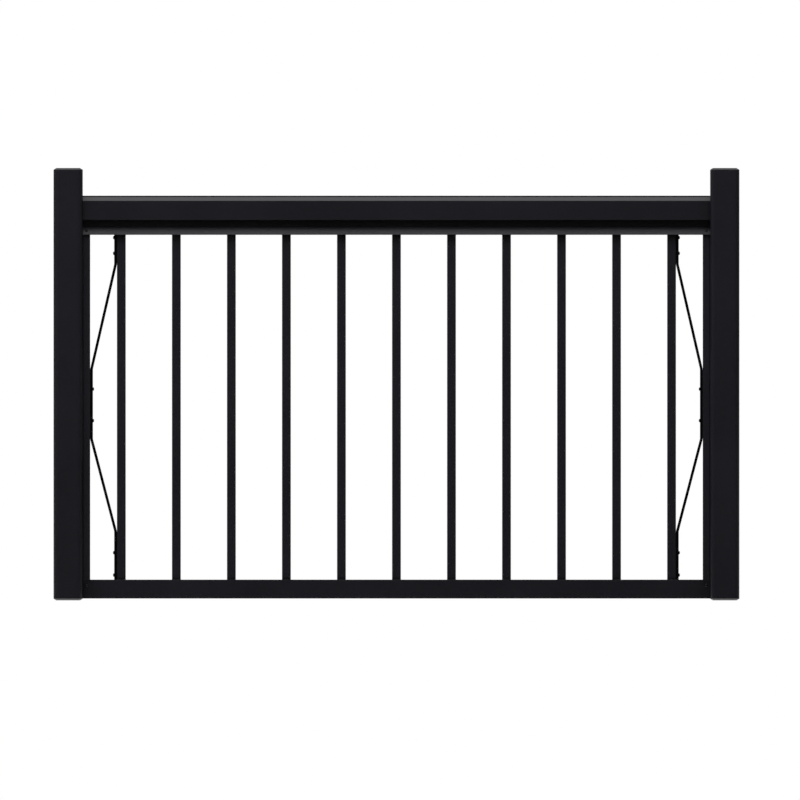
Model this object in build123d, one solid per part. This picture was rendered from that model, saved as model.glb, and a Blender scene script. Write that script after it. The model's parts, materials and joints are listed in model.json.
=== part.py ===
"""Aluminium railing gate leaf: capped square uprights, a two-part top rail, a bottom rail,
square balusters, end stiles and one bent flat-bar brace at each side.

Frame, in millimetres: X runs from the left upright's outer face across the leaf, Y runs from
the front to the back with 0 at mid-depth, and Z is up from the lower end of the upright tubes.
"""
from build123d import *

import os

# Uprights: square tube with rounded corners
CLEAR_WIDTH = 1361.0
UPRIGHT_SIZE = 63.5
UPRIGHT_CORNER = 11.0
UPRIGHT_WALL = 2.0
UPRIGHT_RISE = 56.0

# Plugs that close both ends of an upright
CAP_PLATE = 4.0
CAP_BEVEL_RUN = 6.0
CAP_BEVEL_DROP = 3.75
CAP_SKIRT_LENGTH = 18.0
CAP_SKIRT_WALL = 2.0
CAP_FIT = 0.3

# Top rail cover: inverted channel with a raised land, bevelled shoulders and two inward lips
TOP_RAIL_HEIGHT = 874.0
COVER_DEPTH = 44.5
COVER_HEIGHT = 53.0
COVER_LAND = 2.6
COVER_SHOULDER = 8.6
COVER_WALL = 2.0
COVER_EDGE = 0.6

# Baluster channel that hangs in the cover's slot: narrow neck above a flared foot
GROOVE_HEIGHT = 13.0
NECK_WIDTH = 18.0
NECK_FIT = 0.4
FLARE_HEIGHT = 19.0
FLARE_WIDTH = 43.0
CHANNEL_WALL = 2.0
HOOK_REACH = 4.0
CHANNEL_EDGE = 0.5

# Bottom rail: rectangular tube
BOTTOM_RAIL_HEIGHT = 41.0
BOTTOM_RAIL_DEPTH = 31.75
BOTTOM_RAIL_WALL = 2.0
BOTTOM_RAIL_CORNER = 0.8

# End stiles: channels that stand between the rails, open towards the upright
STILE_WIDTH = 16.0
STILE_DEPTH = 31.75
STILE_WALL = 2.0
STILE_EDGE = 1.0

# Balusters: square tube, evenly spaced between the two end bays
BALUSTER_COUNT = 11
BALUSTER_SIZE = 19.05
BALUSTER_WALL = 1.3
BALUSTER_CORNER = 1.4
BALUSTER_FIT = 0.3
BALUSTER_ENTRY = 12.0
END_BAY = 58.125

# Braces: flat bar bent from the end baluster to the stile and back again
BRACE_THICKNESS = 6.0
BRACE_WIDTH = 18.0
BRACE_BEND_RADIUS = 20.0
BRACE_TOP_FLAT = 64.0
BRACE_BOTTOM_FLAT = 105.0
BRACE_MIDDLE_FLAT = 152.0
BRACE_MIDDLE_HEIGHT = 422.0

# Places worked out from the sizes above
LEAF_WIDTH = CLEAR_WIDTH + 2 * UPRIGHT_SIZE
UPRIGHT_LENGTH = TOP_RAIL_HEIGHT + UPRIGHT_RISE
INNER_LEFT = UPRIGHT_SIZE
COVER_UNDERSIDE = TOP_RAIL_HEIGHT - COVER_HEIGHT
FLARE_TOP = COVER_UNDERSIDE - GROOVE_HEIGHT
CHANNEL_UNDERSIDE = FLARE_TOP - FLARE_HEIGHT
HOOK_SEAT = COVER_UNDERSIDE + COVER_WALL
NECK_TOP = HOOK_SEAT + CHANNEL_WALL
STILE_FACE = INNER_LEFT + STILE_WIDTH
FIRST_BALUSTER_FACE = STILE_FACE + END_BAY
FIRST_BALUSTER = FIRST_BALUSTER_FACE + BALUSTER_SIZE / 2
BALUSTER_PITCH = (LEAF_WIDTH - 2 * FIRST_BALUSTER) / (BALUSTER_COUNT - 1)
BALUSTER_FOOT = BOTTOM_RAIL_WALL
BALUSTER_TOP = CHANNEL_UNDERSIDE + CHANNEL_WALL + BALUSTER_ENTRY

MID_PLANE = Plane.YZ.offset(LEAF_WIDTH / 2)


def along_leaf(section):
    """Carry a section drawn in the Y-Z plane from one upright to the other."""
    return extrude(Plane.YZ.offset(INNER_LEFT) * section, amount=CLEAR_WIDTH)


def other_side(solid):
    """Mirror a left-hand piece to the right-hand end of the leaf."""
    return mirror(solid, about=MID_PLANE)


def upright():
    """Left upright: an open-ended tube with concentric inner and outer corners."""
    inside = UPRIGHT_SIZE - 2 * UPRIGHT_WALL
    section = RectangleRounded(UPRIGHT_SIZE, UPRIGHT_SIZE, UPRIGHT_CORNER)
    section -= RectangleRounded(inside, inside, UPRIGHT_CORNER - UPRIGHT_WALL)
    return extrude(Pos(UPRIGHT_SIZE / 2, 0, 0) * section, amount=UPRIGHT_LENGTH)


def end_cap():
    """Bevelled plate with a hollow skirt, made with its seat at Z = 0 and its skirt below."""
    plate = extrude(RectangleRounded(UPRIGHT_SIZE, UPRIGHT_SIZE, UPRIGHT_CORNER), amount=CAP_PLATE)
    top = plate.faces().sort_by(Axis.Z)[-1]
    plate = chamfer(top.edges(), length=CAP_BEVEL_RUN, length2=CAP_BEVEL_DROP, reference=top)
    inset = UPRIGHT_WALL + CAP_FIT
    outside = UPRIGHT_SIZE - 2 * inset
    inside = outside - 2 * CAP_SKIRT_WALL
    skirt = RectangleRounded(outside, outside, UPRIGHT_CORNER - inset)
    skirt -= RectangleRounded(inside, inside, UPRIGHT_CORNER - inset - CAP_SKIRT_WALL)
    return plate + extrude(skirt, amount=-CAP_SKIRT_LENGTH)


def top_cap():
    """Cap seated on the left upright's upper end."""
    return Pos(UPRIGHT_SIZE / 2, 0, UPRIGHT_LENGTH) * end_cap()


def bottom_cap():
    """The same cap turned over, seated on the left upright's lower end."""
    return Pos(UPRIGHT_SIZE / 2, 0, 0) * Rot(180, 0, 0) * end_cap()


def baluster_places():
    """X of each baluster's centre, from left to right."""
    return [FIRST_BALUSTER + i * BALUSTER_PITCH for i in range(BALUSTER_COUNT)]


def baluster_holes(underside, wall):
    """Square punches through a level wall, one for each baluster."""
    size = BALUSTER_SIZE + 2 * BALUSTER_FIT
    hole = extrude(RectangleRounded(size, size, BALUSTER_CORNER), amount=wall)
    return [Pos(x, 0, underside) * hole for x in baluster_places()]


def top_rail_cover():
    """Inverted channel: land and shoulders above, even wall, and a slot between two inward lips."""
    half = COVER_DEPTH / 2
    land_half = half - COVER_SHOULDER
    land_z = TOP_RAIL_HEIGHT - COVER_LAND
    shoulder_z = land_z - COVER_SHOULDER
    outline = Polyline(
        (-half, COVER_UNDERSIDE),
        (half, COVER_UNDERSIDE),
        (half, shoulder_z),
        (land_half, land_z),
        (land_half, TOP_RAIL_HEIGHT),
        (-land_half, TOP_RAIL_HEIGHT),
        (-land_half, land_z),
        (-half, shoulder_z),
        close=True,
    )
    sharp = make_face(outline)
    hollow = offset(sharp, amount=-COVER_WALL, kind=Kind.INTERSECTION)
    slot = Pos(0, COVER_UNDERSIDE + COVER_WALL / 2) * Rectangle(NECK_WIDTH + 2 * NECK_FIT, COVER_WALL)
    section = fillet(sharp.vertices(), radius=COVER_EDGE) - hollow - slot
    return along_leaf(section)


def top_rail_channel():
    """Channel with a flared foot, a neck through the cover's slot and hooks that rest on its lips."""
    foot = FLARE_WIDTH / 2
    neck = NECK_WIDTH / 2
    outline = Polyline(
        (-foot, CHANNEL_UNDERSIDE),
        (foot, CHANNEL_UNDERSIDE),
        (neck, FLARE_TOP),
        (neck, NECK_TOP),
        (-neck, NECK_TOP),
        (-neck, FLARE_TOP),
        close=True,
    )
    sharp = make_face(outline)
    hollow = offset(sharp, amount=-CHANNEL_WALL, kind=Kind.INTERSECTION)
    mouth = Pos(0, NECK_TOP - CHANNEL_WALL / 2) * Rectangle(NECK_WIDTH - 2 * CHANNEL_WALL, CHANNEL_WALL)
    hooks = Pos(0, NECK_TOP - CHANNEL_WALL / 2) * Rectangle(NECK_WIDTH + 2 * HOOK_REACH, CHANNEL_WALL)
    foot_corners = sharp.vertices().group_by(Axis.Y)[0]
    section = fillet(foot_corners, radius=CHANNEL_EDGE) + hooks - hollow - mouth
    return along_leaf(section) - baluster_holes(CHANNEL_UNDERSIDE, CHANNEL_WALL)


def bottom_rail():
    """Rectangular tube with its upper wall punched for the balusters."""
    inside_depth = BOTTOM_RAIL_DEPTH - 2 * BOTTOM_RAIL_WALL
    inside_height = BOTTOM_RAIL_HEIGHT - 2 * BOTTOM_RAIL_WALL
    section = RectangleRounded(BOTTOM_RAIL_DEPTH, BOTTOM_RAIL_HEIGHT, BOTTOM_RAIL_CORNER)
    section -= Rectangle(inside_depth, inside_height)
    tube = along_leaf(Pos(0, BOTTOM_RAIL_HEIGHT / 2) * section)
    return tube - baluster_holes(BOTTOM_RAIL_HEIGHT - BOTTOM_RAIL_WALL, BOTTOM_RAIL_WALL)


def stile():
    """Left stile: a channel between the rails, with its web towards the balusters."""
    section = Rectangle(STILE_WIDTH, STILE_DEPTH)
    section = fillet(section.vertices().group_by(Axis.X)[-1], radius=STILE_EDGE)
    section -= Pos(-STILE_WALL / 2, 0) * Rectangle(STILE_WIDTH - STILE_WALL, STILE_DEPTH - 2 * STILE_WALL)
    place = Pos(INNER_LEFT + STILE_WIDTH / 2, 0, BOTTOM_RAIL_HEIGHT)
    return extrude(place * section, amount=CHANNEL_UNDERSIDE - BOTTOM_RAIL_HEIGHT)


def baluster(x):
    """Square tube that stands on the bottom rail's inner floor and enters the channel above."""
    inside = BALUSTER_SIZE - 2 * BALUSTER_WALL
    section = RectangleRounded(BALUSTER_SIZE, BALUSTER_SIZE, BALUSTER_CORNER) - Rectangle(inside, inside)
    return extrude(Pos(x, 0, BALUSTER_FOOT) * section, amount=BALUSTER_TOP - BALUSTER_FOOT)


def brace():
    """Left brace, from rail to rail: flat on the end baluster, out to the stile at mid height, and back."""
    on_baluster = FIRST_BALUSTER_FACE - BRACE_THICKNESS / 2
    on_stile = STILE_FACE + BRACE_THICKNESS / 2
    half_middle = BRACE_MIDDLE_FLAT / 2
    path = FilletPolyline(
        (on_baluster, 0, BOTTOM_RAIL_HEIGHT),
        (on_baluster, 0, BOTTOM_RAIL_HEIGHT + BRACE_BOTTOM_FLAT),
        (on_stile, 0, BRACE_MIDDLE_HEIGHT - half_middle),
        (on_stile, 0, BRACE_MIDDLE_HEIGHT + half_middle),
        (on_baluster, 0, CHANNEL_UNDERSIDE - BRACE_TOP_FLAT),
        (on_baluster, 0, CHANNEL_UNDERSIDE),
        radius=BRACE_BEND_RADIUS,
    )
    foot = Plane(origin=path @ 0, x_dir=(1, 0, 0), z_dir=path % 0)
    return sweep(foot * Rectangle(BRACE_THICKNESS, BRACE_WIDTH), path=path)


def build():
    """All the pieces of the leaf, by node name."""
    pieces = {
        "top_rail_cover": top_rail_cover(),
        "top_rail_channel": top_rail_channel(),
        "bottom_rail": bottom_rail(),
    }
    paired = {
        "upright": upright(),
        "top_cap": top_cap(),
        "bottom_cap": bottom_cap(),
        "stile": stile(),
        "brace": brace(),
    }
    for name, solid in paired.items():
        pieces[f"left_{name}"] = solid
        pieces[f"right_{name}"] = other_side(solid)
    for number, x in enumerate(baluster_places(), start=1):
        pieces[f"baluster_{number:02d}"] = baluster(x)
    return pieces


os.makedirs("parts", exist_ok=True)
for node, solid in build().items():
    export_step(solid, f"parts/{node}.step")
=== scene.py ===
"""Dress the black aluminium railing gate leaf: coatings, screw heads, studio light and camera."""

import json
import logging
import math
from dataclasses import dataclass, field
from enum import Enum

import bpy
import numpy as np
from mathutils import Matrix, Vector
from numpy.typing import NDArray


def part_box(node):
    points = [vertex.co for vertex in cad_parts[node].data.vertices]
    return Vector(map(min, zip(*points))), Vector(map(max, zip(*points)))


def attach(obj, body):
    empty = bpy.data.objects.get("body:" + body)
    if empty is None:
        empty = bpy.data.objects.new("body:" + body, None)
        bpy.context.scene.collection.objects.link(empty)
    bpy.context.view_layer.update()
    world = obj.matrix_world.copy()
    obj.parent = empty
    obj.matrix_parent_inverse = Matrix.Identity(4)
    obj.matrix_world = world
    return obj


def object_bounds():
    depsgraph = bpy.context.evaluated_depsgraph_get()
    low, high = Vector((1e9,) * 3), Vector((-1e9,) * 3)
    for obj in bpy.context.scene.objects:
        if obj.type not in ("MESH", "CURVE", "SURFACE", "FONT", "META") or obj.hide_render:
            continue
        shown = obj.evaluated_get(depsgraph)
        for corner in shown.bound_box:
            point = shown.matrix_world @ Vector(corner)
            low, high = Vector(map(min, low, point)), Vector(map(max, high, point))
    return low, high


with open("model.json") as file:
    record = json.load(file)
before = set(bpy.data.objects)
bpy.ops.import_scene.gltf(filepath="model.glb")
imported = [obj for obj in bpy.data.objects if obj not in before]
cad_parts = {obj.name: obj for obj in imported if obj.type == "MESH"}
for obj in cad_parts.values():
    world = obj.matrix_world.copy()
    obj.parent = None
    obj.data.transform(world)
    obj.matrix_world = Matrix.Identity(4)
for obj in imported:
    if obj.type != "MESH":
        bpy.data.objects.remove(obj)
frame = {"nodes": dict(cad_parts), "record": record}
CAD_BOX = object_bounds()

Array = NDArray[np.float64]
Faces = list[list[int]]
Colour = tuple[float, float, float]
Stops = tuple[tuple[float, Colour], ...]
LOG = logging.getLogger("railing_gate")
BODY = "root"
MM = 0.001
CREASE = math.radians(38.0)
WHITE = (1.0, 1.0, 1.0, 1.0)


class Slot(Enum):
    """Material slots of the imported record."""

    FRAME = "frame_coating"
    CAP = "cap_plastic"
    BRACE = "brace_coating"


class Side(Enum):
    """The two ends of the leaf, by the direction along X that points into it."""

    LEFT = 1.0
    RIGHT = -1.0

    @property
    def word(self) -> str:
        """Name of this end in the node names."""
        return self.name.lower()


class Face(Enum):
    """The two faces of the leaf, by the direction along Y that points out of it."""

    FRONT = -1.0
    BACK = 1.0

    @property
    def word(self) -> str:
        """Name of this face in the piece names."""
        return self.name.lower()


def add_node(tree: bpy.types.NodeTree, kind: str, **values: object) -> bpy.types.Node:
    """Add a shader node and set its input sockets by name.

    Args:
        tree: Node tree that takes the node.
        kind: Blender's type name of the node.
        values: Socket values, with underscores in place of the spaces in a socket's name.

    Returns:
        The new node.
    """
    node = tree.nodes.new(kind)
    for name, value in values.items():
        node.inputs[name.replace("_", " ")].default_value = value
    return node


def add_ramp(tree: bpy.types.NodeTree, stops: Stops) -> bpy.types.Node:
    """Add a colour ramp.

    Args:
        tree: Node tree that takes the ramp.
        stops: Position and colour of each stop, in rising order.

    Returns:
        The ramp node.
    """
    node = tree.nodes.new("ShaderNodeValToRGB")
    elements = node.color_ramp.elements
    while len(elements) < len(stops):
        elements.new(1.0)
    for element, (position, colour) in zip(elements, stops):
        element.position = position
        element.color = (*colour, 1.0)
    return node


def grey(level: float) -> Colour:
    """An even grey of one level."""
    return (level, level, level)


def larger_of(
    tree: bpy.types.NodeTree, one: bpy.types.NodeSocket, other: bpy.types.NodeSocket
) -> bpy.types.NodeSocket:
    """The larger of two values.

    Args:
        tree: Node tree that takes the node.
        one: First value.
        other: Second value.

    Returns:
        The larger value.
    """
    node = tree.nodes.new("ShaderNodeMath")
    node.operation = "MAXIMUM"
    tree.links.new(one, node.inputs[0])
    tree.links.new(other, node.inputs[1])
    return node.outputs[0]


@dataclass(frozen=True)
class Coating:
    """A near-black coat with fine grain, a slow orange-peel wave and faint unevenness.

    Sizes are in metres, colours are linear. Within the shade reach of other surfaces, in corners, grooves
    and beside other parts, an ambient occlusion node darkens the colour by the shade stops: painted shade.
    """

    name: str
    colour: Colour
    lift: float = 0.25
    roughness: float = 0.30
    unevenness: float = 0.04
    metallic: float = 0.0
    ior: float = 1.78
    grain: float = 0.0007
    grain_height: float = 0.012 * MM
    peel: float = 0.0035
    peel_height: float = 0.020 * MM
    patch: float = 0.18
    drift_span: tuple[float, float] = (0.3, 0.7)
    patch_octaves: float = 3.0
    peel_octaves: float = 1.0
    grain_octaves: float = 2.0
    # Painted shade: how far the ambient occlusion looks, how many rays it casts, and how its value darkens
    # the colour.
    shade_reach: float = 0.007
    shade_rays: int = 12
    shade_stops: Stops = ((0.0, grey(0.0)), (0.60, grey(0.42)), (0.86, grey(0.70)), (0.97, grey(1.0)))

    def make(self) -> bpy.types.Material:
        """Build the node material.

        Returns:
            The material, on Object coordinates.
        """
        material = bpy.data.materials.new(self.name)
        material.use_nodes = True
        tree = material.node_tree
        shader = tree.nodes["Principled BSDF"]
        shader.inputs["IOR"].default_value = self.ior
        shader.inputs["Metallic"].default_value = self.metallic
        place = tree.nodes.new("ShaderNodeTexCoord").outputs["Object"]
        patches = self._noise(tree, place, self.patch, self.patch_octaves)
        self._tint(tree, patches, shader)
        self._sheen(tree, patches, shader)
        self._relief(tree, place, shader)
        return material

    def _noise(
        self, tree: bpy.types.NodeTree, place: bpy.types.NodeSocket, size: float, octaves: float
    ) -> bpy.types.NodeSocket:
        """Noise whose features are about one size across.

        Args:
            tree: Node tree of the material.
            place: Coordinates in metres.
            size: Feature size in metres.
            octaves: Number of finer layers on the noise.

        Returns:
            The noise value, about 0.5 on average.
        """
        noise = add_node(tree, "ShaderNodeTexNoise", Scale=1.0 / size, Detail=octaves)
        tree.links.new(place, noise.inputs["Vector"])
        return noise.outputs["Fac"]

    def _tint(
        self, tree: bpy.types.NodeTree, patches: bpy.types.NodeSocket, shader: bpy.types.Node
    ) -> None:
        """Let the colour drift a little from patch to patch, and darken it by ambient occlusion in corners
        and grooves: painted shade.

        Args:
            tree: Node tree of the material.
            patches: Slow noise.
            shader: Shader that takes the colour.
        """
        pale = tuple(c * (1.0 + self.lift) for c in self.colour)
        start, end = self.drift_span
        drift = add_ramp(tree, ((start, self.colour), (end, pale)))
        tree.links.new(patches, drift.inputs["Fac"])
        # Painted shade: ambient occlusion within the reach darkens the base colour in corners, grooves and
        # beside other parts.
        occlusion = add_node(tree, "ShaderNodeAmbientOcclusion", Distance=self.shade_reach)
        occlusion.samples = self.shade_rays
        painted_shade = add_ramp(tree, self.shade_stops)
        tree.links.new(occlusion.outputs["AO"], painted_shade.inputs["Fac"])
        product = tree.nodes.new("ShaderNodeVectorMath")
        product.operation = "MULTIPLY"
        tree.links.new(drift.outputs["Color"], product.inputs[0])
        tree.links.new(painted_shade.outputs["Color"], product.inputs[1])
        tree.links.new(product.outputs["Vector"], shader.inputs["Base Color"])

    def _sheen(
        self, tree: bpy.types.NodeTree, patches: bpy.types.NodeSocket, shader: bpy.types.Node
    ) -> None:
        """Let the roughness drift with the same patches.

        Args:
            tree: Node tree of the material.
            patches: Slow noise.
            shader: Shader that takes the roughness.
        """
        drift = tree.nodes.new("ShaderNodeMapRange")
        drift.inputs["To Min"].default_value = self.roughness - self.unevenness
        drift.inputs["To Max"].default_value = self.roughness + self.unevenness
        tree.links.new(patches, drift.inputs["Value"])
        tree.links.new(drift.outputs["Result"], shader.inputs["Roughness"])

    def _relief(
        self, tree: bpy.types.NodeTree, place: bpy.types.NodeSocket, shader: bpy.types.Node
    ) -> None:
        """Stack the grain on the slow wave as bump.

        Args:
            tree: Node tree of the material.
            place: Coordinates in metres.
            shader: Shader that takes the normal.
        """
        wave = add_node(tree, "ShaderNodeBump", Distance=self.peel_height)
        tree.links.new(self._noise(tree, place, self.peel, self.peel_octaves), wave.inputs["Height"])
        grain = add_node(tree, "ShaderNodeBump", Distance=self.grain_height)
        tree.links.new(self._noise(tree, place, self.grain, self.grain_octaves), grain.inputs["Height"])
        tree.links.new(wave.outputs["Normal"], grain.inputs["Normal"])
        tree.links.new(grain.outputs["Normal"], shader.inputs["Normal"])


SATIN_BLACK = (0.0112, 0.0107, 0.0142)
# Every coat here darkens its colour in corners and grooves with painted shade, as far as its shade reach.
FRAME_COAT = Coating("black_powder_coat", SATIN_BLACK)
# The same black coat again, with painted shade that reaches farther on the channel and rails and less far on
# the stiles.
CHANNEL_LONG_SHADE_COAT = Coating("channel_powder_coat_long_shade", SATIN_BLACK, shade_reach=0.030)
RAIL_LONG_SHADE_COAT = Coating(
    "rail_powder_coat_long_shade",
    SATIN_BLACK,
    shade_reach=0.045,
    shade_stops=((0.0, grey(0.40)), (0.70, grey(0.62)), (0.94, grey(0.68)), (0.99, grey(1.0))),
)
STILE_SHORT_SHADE_COAT = Coating("stile_powder_coat_short_shade", SATIN_BLACK, shade_reach=0.003)
CAP_COAT = Coating("moulded_cap_black", SATIN_BLACK, roughness=0.32, grain=0.0011)
BRACE_COAT = Coating("brace_black", (0.0012, 0.0012, 0.0014), roughness=0.42, ior=1.45)
BRACE_SCREW = Coating("screw_black", (0.0060, 0.0060, 0.0066), roughness=0.34, patch=0.004)
RAIL_SCREW = Coating(
    "screw_dark_zinc",
    (0.16, 0.16, 0.165),
    roughness=0.36,
    metallic=1.0,
    patch=0.004,
    shade_reach=0.001,
)


def link(item: bpy.types.Object) -> None:
    """Put an object into the scene."""
    bpy.context.scene.collection.objects.link(item)


def mesh_piece(name: str, points: Array, faces: Faces, material: bpy.types.Material) -> bpy.types.Object:
    """Make a smooth-shaded piece with crisp edges that rides on the leaf.

    Args:
        name: Name of the piece.
        points: Vertices in metres, one a row.
        faces: Corner numbers of each face.
        material: Finish of the piece.

    Returns:
        The linked object, at the origin.
    """
    mesh = bpy.data.meshes.new(name)
    mesh.from_pydata(points.tolist(), [], faces)
    mesh.validate()
    mesh.shade_smooth()
    mesh.set_sharp_from_angle(angle=CREASE)
    mesh.materials.append(material)
    piece = bpy.data.objects.new(name, mesh)
    link(piece)
    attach(piece, BODY)
    return piece


@dataclass
class ScrewHead:
    """Hex-socket button head, in metres, made on a grid of rings and spokes."""

    radius: float = 3.75 * MM
    height: float = 2.7 * MM
    rim: float = 0.6 * MM
    socket_flat: float = 1.25 * MM
    socket_depth: float = 1.4 * MM
    socket_draft: float = 0.94
    spokes: int = 36
    dome_rings: int = 7
    dome_spacing: float = 0.7

    def _turns(self) -> Array:
        """Angle of every spoke."""
        return np.arange(self.spokes) * (2.0 * math.pi / self.spokes)

    def rings(self) -> tuple[Array, Array]:
        """Radius and height of every ring at every spoke.

        The socket is a hexagon, flat / cos(angle from the middle of the nearest side). The dome is
        rim + (height - rim) * sqrt(1 - (r / radius)^2), and its rings blend from hexagon to circle,
        wider apart next to the socket.

        Returns:
            Two arrays of rings by spokes, from the socket's floor out and down to the seat.
        """
        half_side = math.pi / 6
        hexagon = self.socket_flat / np.cos((self._turns() + half_side) % (2 * half_side) - half_side)
        share = np.linspace(0.0, 1.0, self.dome_rings)[:, None] ** self.dome_spacing
        dome_r = (1.0 - share) * hexagon + share * self.radius
        bulge = np.sqrt(np.clip(1.0 - (dome_r / self.radius) ** 2, 0.0, None))
        dome_h = self.rim + (self.height - self.rim) * bulge
        floor_h = np.full_like(hexagon, self.height - self.socket_depth)
        seat_r = np.full_like(hexagon, self.radius)
        radii = np.vstack([hexagon * self.socket_draft, dome_r, seat_r])
        heights = np.vstack([floor_h, dome_h, np.zeros_like(hexagon)])
        return radii, heights

    def solid(self) -> tuple[Array, NDArray[np.int64], NDArray[np.int64]]:
        """One closed head with its seat at height 0 and its axis along the third coordinate.

        Returns:
            Vertices, four-cornered faces, and the three-cornered faces round the two poles.
        """
        radii, heights = self.rings()
        turn = self._turns()
        grid = np.stack([radii * np.cos(turn), radii * np.sin(turn), heights], axis=-1)
        poles = np.array([[0.0, 0.0, heights[0, 0]], [0.0, 0.0, 0.0]])
        points = np.vstack([grid.reshape(-1, 3), poles])
        ring = np.arange(radii.size).reshape(radii.shape)
        turned = np.roll(ring, -1, axis=1)
        quads = np.stack([ring[1:], turned[1:], turned[:-1], ring[:-1]], axis=-1).reshape(-1, 4)
        pole = np.full(self.spokes, radii.size)
        inner = np.stack([ring[0], turned[0], pole], axis=-1)
        outer = np.stack([turned[-1], ring[-1], pole + 1], axis=-1)
        return points, quads, np.vstack([inner, outer])

    def set_on(self, seats: Array, axes: Array) -> tuple[Array, Faces]:
        """Copies of the head, each turned to its own axis.

        A head's third coordinate runs along its axis, its first runs across the axis and level, and
        its second is square to both.

        Args:
            seats: Middle of each seat, one a row.
            axes: Outward direction of each head, one a row, of length 1 and not upright.

        Returns:
            Vertices and faces of all the heads together.
        """
        points, quads, fans = self.solid()
        across = np.cross(np.array([0.0, 0.0, 1.0]), axes)
        across /= np.linalg.norm(across, axis=1, keepdims=True)
        frames = np.stack([across, np.cross(axes, across), axes], axis=1)
        placed = seats[:, None, :] + np.einsum("pk,ski->spi", points, frames)
        first = (np.arange(len(seats)) * len(points))[:, None, None]
        faces = (quads + first).reshape(-1, 4).tolist() + (fans + first).reshape(-1, 3).tolist()
        return placed.reshape(-1, 3), faces


@dataclass
class Leaf:
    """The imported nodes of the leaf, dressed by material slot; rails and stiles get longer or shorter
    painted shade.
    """

    finishes: dict[Slot, Coating] = field(
        default_factory=lambda: {Slot.FRAME: FRAME_COAT, Slot.CAP: CAP_COAT, Slot.BRACE: BRACE_COAT}
    )
    own: dict[Coating, tuple[str, ...]] = field(
        default_factory=lambda: {
            CHANNEL_LONG_SHADE_COAT: ("top_rail_channel",),
            RAIL_LONG_SHADE_COAT: ("top_rail_cover", "bottom_rail"),
            STILE_SHORT_SHADE_COAT: ("left_stile", "right_stile"),
        }
    )

    def dress(self) -> None:
        """Give every node its coat with longer or shorter painted shade, or else the finish of its slot."""
        made = {slot.value: coat.make() for slot, coat in self.finishes.items()}
        slots = {part["node"]: part["material_slot"] for part in frame["record"]["subparts"]}
        finish = {name: made[slot] for name, slot in slots.items()}
        for coat, names in self.own.items():
            finish.update(dict.fromkeys(names, coat.make()))
        for name, node in sorted(frame["nodes"].items()):
            node.data.materials.clear()
            node.data.materials.append(finish[name])
            LOG.info("%s: %s", name, finish[name].name)


@dataclass
class BraceScrews:
    """Six screws along each brace, on the side of the bar that faces away from what it is fixed to."""

    head: ScrewHead = field(default_factory=ScrewHead)
    bar: float = 6.0 * MM
    on_baluster: tuple[float, ...] = (0.0510, 0.0995, 0.7490, 0.7830)
    on_stile: tuple[float, ...] = (0.3860, 0.4545)
    end_baluster: dict[Side, str] = field(
        default_factory=lambda: {Side.LEFT: "baluster_01", Side.RIGHT: "baluster_11"}
    )

    def build(self, side: Side, material: bpy.types.Material) -> bpy.types.Object:
        """Make one brace's screws as one piece.

        Args:
            side: End of the leaf.
            material: Finish of the screws.

        Returns:
            The piece.
        """
        inward = side.value
        near = 0 if side is Side.LEFT else 1
        baluster_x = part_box(self.end_baluster[side])[near].x - inward * self.bar
        stile_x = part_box(f"{side.word}_stile")[1 - near].x + inward * self.bar
        seats = [(baluster_x, 0.0, z) for z in self.on_baluster]
        seats += [(stile_x, 0.0, z) for z in self.on_stile]
        axes = [(-inward, 0.0, 0.0)] * len(self.on_baluster)
        axes += [(inward, 0.0, 0.0)] * len(self.on_stile)
        points, faces = self.head.set_on(np.array(seats), np.array(axes))
        piece = mesh_piece(f"{side.word}_brace_screws", points, faces, material)
        return piece


@dataclass
class RailScrews:
    """One screw near each end of each rail, on the front and on the back."""

    head: ScrewHead = field(
        default_factory=lambda: ScrewHead(radius=2.9 * MM, height=1.9 * MM, socket_flat=1.0 * MM)
    )
    from_upright: float = 8.0 * MM
    bottom_z: float = 0.0285
    top_z: float = 0.7980
    flare_height: float = 19.0 * MM
    neck_half: float = 9.0 * MM
    flare_half: float = 21.5 * MM

    def build(self, face: Face, material: bpy.types.Material) -> bpy.types.Object:
        """Make the four screws on one face of the leaf.

        Args:
            face: Front or back.
            material: Finish of the screws.

        Returns:
            The piece.
        """
        out = face.value
        rail_low, rail_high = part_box("bottom_rail")
        channel_low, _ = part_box("top_rail_channel")
        ends = (rail_low.x + self.from_upright, rail_high.x - self.from_upright)
        slope = (self.flare_half - self.neck_half) / self.flare_height
        flare_y = self.flare_half - (self.top_z - channel_low.z) * slope
        tilt = math.atan(slope)
        seats = [(x, out * rail_high.y, self.bottom_z) for x in ends]
        seats += [(x, out * flare_y, self.top_z) for x in ends]
        axes = [(0.0, out, 0.0)] * len(ends)
        axes += [(0.0, out * math.cos(tilt), math.sin(tilt))] * len(ends)
        points, faces = self.head.set_on(np.array(seats), np.array(axes))
        piece = mesh_piece(f"{face.word}_rail_screws", points, faces, material)
        return piece


@dataclass(frozen=True)
class SoftPanel:
    """A soft rectangular lamp that is turned to the leaf and that only lights it.

    The bearing is in degrees from the front towards +X, the rise is in degrees above level, and the
    size is its height and its width in metres.
    """

    name: str
    bearing: float
    rise: float
    distance: float
    size: tuple[float, float]
    power: float

    def hang(self, middle: Vector) -> None:
        """Place the lamp at its bearing and rise, facing the middle of the leaf.

        Args:
            middle: Point that the lamp is turned to.
        """
        lamp = bpy.data.lights.new(self.name, "AREA")
        lamp.shape = "RECTANGLE"
        lamp.size, lamp.size_y = self.size
        lamp.energy = self.power
        bearing, rise = math.radians(self.bearing), math.radians(self.rise)
        level = math.cos(rise)
        away = Vector((level * math.sin(bearing), -level * math.cos(bearing), math.sin(rise)))
        panel = bpy.data.objects.new(self.name, lamp)
        panel.location = middle + self.distance * away
        panel.rotation_mode = "QUATERNION"
        panel.rotation_quaternion = (-away).to_track_quat("-Z", "X")
        panel.visible_camera = False
        panel.visible_glossy = False
        link(panel)


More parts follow.
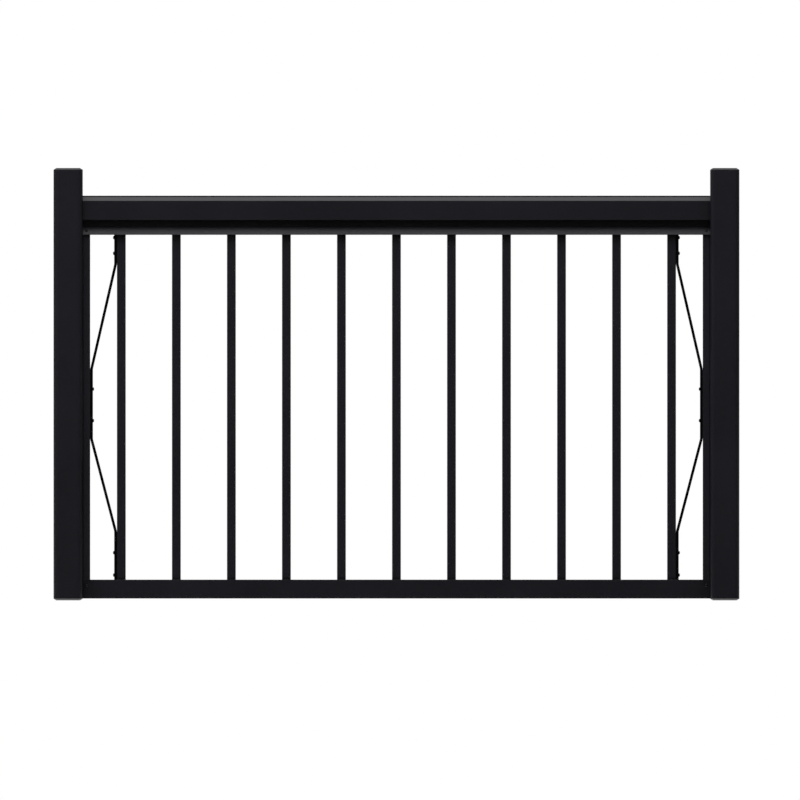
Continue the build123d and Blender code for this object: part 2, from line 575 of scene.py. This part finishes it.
@dataclass
class Surround:
    """A tall oval sweep round the leaf that only reflections see: dark at its level, white overhead.

    Each tuple follows the sweep's wall from its rim on the floor, beside the leaf, up to its upper rim.
    """

    spread: tuple[float, ...] = (0.10, 3.0, 5.0, 5.0, 2.5, 1.3)
    height: tuple[float, ...] = (-0.05, -0.03, 0.6, 4.0, 6.5, 7.5)
    front_glow: tuple[float, ...] = (0.006, 0.006, 0.005, 0.10, 0.20, 1.0)
    back_glow: tuple[float, ...] = (0.30, 0.30, 0.12, 0.50, 0.45, 1.0)
    back_reach: tuple[float, ...] = (0.5, 0.5, -0.3, -0.3, -0.3, -0.3)
    back_turn: float = 1.5
    left_gain: float = 1.5
    turns: int = 64
    rings: int = 41

    def build(self) -> bpy.types.Object:
        """Make the sweep with its glow.

        Rings are ovals: x = middle + (half the leaf + s) cos t, y = s sin t, where the spread s and the
        height z follow the wall. The glow goes from the front values to the back values as
        back_turn * sin t + back_reach rises from 0 to 1, so on the floor it reaches round the leaf's
        ends. The front grows brighter to the left with -cos t.

        Returns:
            The object, which is no part of the leaf.
        """
        low, high = CAD_BOX
        turn = np.linspace(0.0, 2.0 * math.pi, self.turns, endpoint=False)
        spread, height, reach = map(self._along, (self.spread, self.height, self.back_reach))
        front, back = map(self._along, (self.front_glow, self.back_glow))
        x = (low.x + high.x) / 2 + ((high.x - low.x) / 2 + spread) * np.cos(turn)
        y = spread * np.sin(turn)
        points = np.stack([x, y, np.broadcast_to(height, x.shape)], axis=-1).reshape(-1, 3)
        behind = np.clip(self.back_turn * np.sin(turn) + reach, 0.0, 1.0)
        leftward = 1.0 + self.left_gain * np.clip(-np.cos(turn), 0.0, 1.0)
        glow = np.clip(front * leftward * (1.0 - behind) + back * behind, 0.0, 1.0)
        ring = np.arange(x.size).reshape(x.shape)
        turned = np.roll(ring, -1, axis=1)
        faces = np.stack([ring[:-1], turned[:-1], turned[1:], ring[1:]], axis=-1).reshape(-1, 4)
        mesh = bpy.data.meshes.new("surround")
        mesh.from_pydata(points.tolist(), [], faces.tolist())
        mesh.attributes.new("glow", "FLOAT", "POINT").data.foreach_set("value", glow.ravel())
        mesh.materials.append(self._cloth())
        sweep = bpy.data.objects.new("surround", mesh)
        sweep.visible_camera = False
        sweep.visible_diffuse = False
        sweep.visible_shadow = False
        sweep.visible_transmission = False
        return sweep

    def _along(self, values: tuple[float, ...]) -> Array:
        """Even steps along the wall between one value a corner, as a column."""
        corners = np.arange(len(values))
        return np.interp(np.linspace(0.0, corners[-1], self.rings), corners, values)[:, None]

    def _cloth(self) -> bpy.types.Material:
        """Cloth that glows by the mesh's own attribute.

        Returns:
            The material.
        """
        material = bpy.data.materials.new("graded_cloth")
        material.use_nodes = True
        tree = material.node_tree
        tree.nodes.remove(tree.nodes["Principled BSDF"])
        level = tree.nodes.new("ShaderNodeAttribute")
        level.attribute_name = "glow"
        shine = add_node(tree, "ShaderNodeEmission", Color=WHITE)
        tree.links.new(level.outputs["Fac"], shine.inputs["Strength"])
        tree.links.new(shine.outputs[0], tree.nodes["Material Output"].inputs["Surface"])
        return material


@dataclass
class Studio:
    """Pale floor, white room, graded surround, soft panels and a level front camera."""

    floor_drop: float = 0.05
    floor_half: float = 30.0
    floor_grey: float = 0.36
    floor_roughness: float = 0.9
    floor_glow: float = 0.7
    view_width: float = 1.7356
    view_x: float = 0.7517
    view_z: float = 0.4307
    camera_back: float = 6.0
    fill: float = 0.04
    fill_colour: tuple[float, ...] = (0.96, 0.98, 1.0, 1.0)
    surround: Surround = field(default_factory=Surround)
    panels: tuple[SoftPanel, ...] = (
        SoftPanel("front_panel", bearing=-25.0, rise=58.0, distance=8.0, size=(5.4, 9.0), power=1000.0),
        SoftPanel("back_panel", bearing=-155.0, rise=58.0, distance=8.0, size=(5.4, 9.0), power=430.0),
        SoftPanel("left_back_panel", bearing=-130.0, rise=25.0, distance=5.0, size=(2.0, 2.0), power=120.0),
        SoftPanel("right_back_panel", bearing=130.0, rise=25.0, distance=5.0, size=(2.0, 2.0), power=120.0),
    )

    def build(self) -> None:
        """Make the whole set."""
        self._world()
        self._floor()
        sweep = self.surround.build()
        link(sweep)
        low, high = CAD_BOX
        for panel in self.panels:
            panel.hang((low + high) / 2)
        self._camera()

    def _world(self) -> None:
        """White to the camera, to reflections and through glass; a softer fill for diffuse light."""
        world = bpy.data.worlds.new("white_room")
        world.use_nodes = True
        tree = world.node_tree
        tree.nodes.clear()
        rays = tree.nodes.new("ShaderNodeLightPath").outputs
        seen = larger_of(tree, rays["Is Camera Ray"], rays["Is Glossy Ray"])
        seen = larger_of(tree, seen, rays["Is Transmission Ray"])
        fill = add_node(tree, "ShaderNodeBackground", Color=self.fill_colour, Strength=self.fill)
        white = add_node(tree, "ShaderNodeBackground", Color=WHITE, Strength=1.0)
        mix = tree.nodes.new("ShaderNodeMixShader")
        out = tree.nodes.new("ShaderNodeOutputWorld")
        tree.links.new(seen, mix.inputs[0])
        tree.links.new(fill.outputs[0], mix.inputs[1])
        tree.links.new(white.outputs[0], mix.inputs[2])
        tree.links.new(mix.outputs[0], out.inputs["Surface"])
        bpy.context.scene.world = world

    def _floor(self) -> None:
        """A pale floor a little way under the leaf, as a gate hangs."""
        half = self.floor_half
        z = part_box("left_bottom_cap")[0].z - self.floor_drop
        corners = [(-half, -half, z), (half, -half, z), (half, half, z), (-half, half, z)]
        mesh = bpy.data.meshes.new("floor")
        mesh.from_pydata(corners, [], [[0, 1, 2, 3]])
        mesh.materials.append(self._floor_paint())
        floor = bpy.data.objects.new("floor", mesh)
        link(floor)

    def _floor_paint(self) -> bpy.types.Material:
        """Matt paint that takes shadows, paled to the camera and white to reflections and glass.

        Returns:
            The material.
        """
        material = bpy.data.materials.new("pale_floor")
        material.use_nodes = True
        tree = material.node_tree
        paint = tree.nodes["Principled BSDF"]
        paint.inputs["Base Color"].default_value = (*grey(self.floor_grey), 1.0)
        paint.inputs["Roughness"].default_value = self.floor_roughness
        paint.inputs["Specular IOR Level"].default_value = 0.0
        glow = add_node(tree, "ShaderNodeEmission", Color=WHITE, Strength=1.0)
        rays = tree.nodes.new("ShaderNodeLightPath").outputs
        share = tree.nodes.new("ShaderNodeMath")
        share.operation = "MULTIPLY"
        share.inputs[1].default_value = self.floor_glow
        tree.links.new(rays["Is Camera Ray"], share.inputs[0])
        seen = larger_of(tree, share.outputs[0], rays["Is Glossy Ray"])
        seen = larger_of(tree, seen, rays["Is Transmission Ray"])
        mix = tree.nodes.new("ShaderNodeMixShader")
        tree.links.new(seen, mix.inputs[0])
        tree.links.new(paint.outputs[0], mix.inputs[1])
        tree.links.new(glow.outputs[0], mix.inputs[2])
        tree.links.new(mix.outputs[0], tree.nodes["Material Output"].inputs["Surface"])
        return material

    def _camera(self) -> None:
        """Level parallel view of the front, framed as the picture is."""
        data = bpy.data.cameras.new("front_camera")
        data.type = "ORTHO"
        data.ortho_scale = self.view_width
        camera = bpy.data.objects.new("front_camera", data)
        camera.location = (self.view_x, -self.camera_back, self.view_z)
        camera.rotation_euler = (math.pi / 2, 0.0, 0.0)
        link(camera)
        bpy.context.scene.camera = camera


def main() -> None:
    """Dress the leaf, add its screws and set the studio."""
    logging.basicConfig(level=logging.INFO, format="%(name)s %(message)s")
    bpy.context.scene.view_settings.view_transform = "Standard"
    Leaf().dress()
    brace_screws, brace_finish = BraceScrews(), BRACE_SCREW.make()
    for side in Side:
        LOG.info(brace_screws.build(side, brace_finish).name)
    rail_screws, rail_finish = RailScrews(), RAIL_SCREW.make()
    for face in Face:
        LOG.info(rail_screws.build(face, rail_finish).name)
    Studio().build()


if __name__ == "__main__":
    main()
